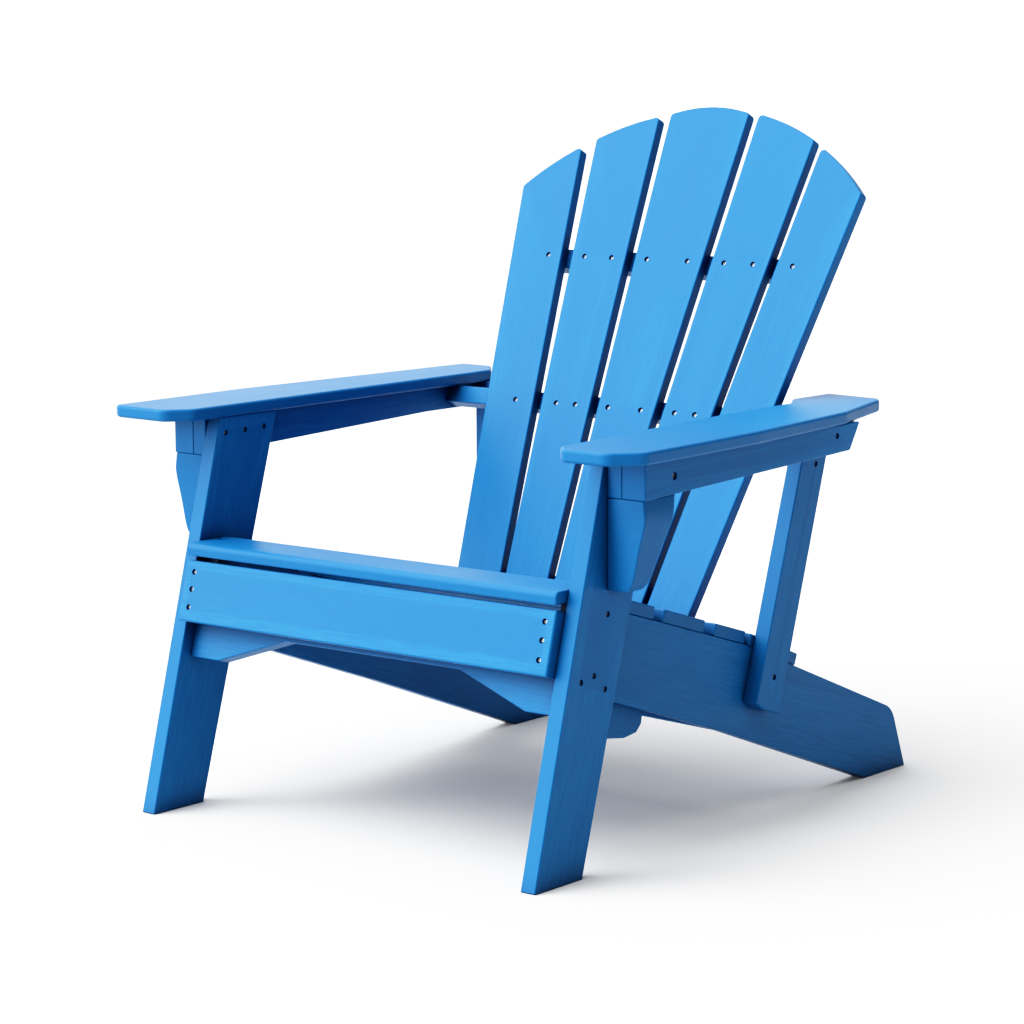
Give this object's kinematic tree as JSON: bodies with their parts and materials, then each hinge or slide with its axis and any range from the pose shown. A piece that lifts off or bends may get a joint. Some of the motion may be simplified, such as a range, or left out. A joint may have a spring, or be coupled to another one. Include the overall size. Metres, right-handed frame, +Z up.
{
  "type": "adirondack chair",
  "caption": "Low garden armchair with raked front legs, sloping side boards that reach the ground, a slatted seat, a reclined fan back and flat arms.",
  "frame": {"origin": "on the floor, at the middle of the chair's overall width and depth", "axes": "front of the chair faces -Y, +X is to the right of a person looking at its front, +Z up"},
  "size_m": [0.8437, 0.8308, 0.8867],
  "materials": {
    "lumber": "satin blue outdoor lumber with a fine grain",
    "screw_steel": "bright recessed screw heads"
  },
  "bodies": {
    "root": {"apron_screws": "screw_steel", "arched_stretcher": "lumber", "arm_left": "lumber", "arm_right": "lumber", "back_slat_1": "lumber", "back_slat_2": "lumber", "back_slat_3": "lumber", "back_slat_4": "lumber", "back_slat_5": "lumber", "back_slat_screws": "screw_steel", "corbel_left": "lumber", "corbel_right": "lumber", "foot_back_batten": "lumber", "foot_batten_screws": "screw_steel", "front_apron": "lumber", "front_leg_left": "lumber", "front_leg_right": "lumber", "inner_cleat_right": "lumber", "inner_rail_left": "lumber", "inner_rail_right": "lumber", "leg_screws": "screw_steel", "lower_back_batten": "lumber", "outer_rail_left": "lumber", "outer_rail_right": "lumber", "post_screws": "screw_steel", "post_top_screw": "screw_steel", "rail_bolts": "screw_steel", "rail_screws": "screw_steel", "rear_post_left": "lumber", "rear_post_right": "lumber", "seat_board_rear": "lumber", "seat_screws": "screw_steel", "seat_slat_1": "lumber", "seat_slat_2": "lumber", "seat_slat_3": "lumber", "seat_slat_front": "lumber", "side_stringer_left": "lumber", "side_stringer_right": "lumber", "upper_back_batten": "lumber"}
  },
  "joints": []
}
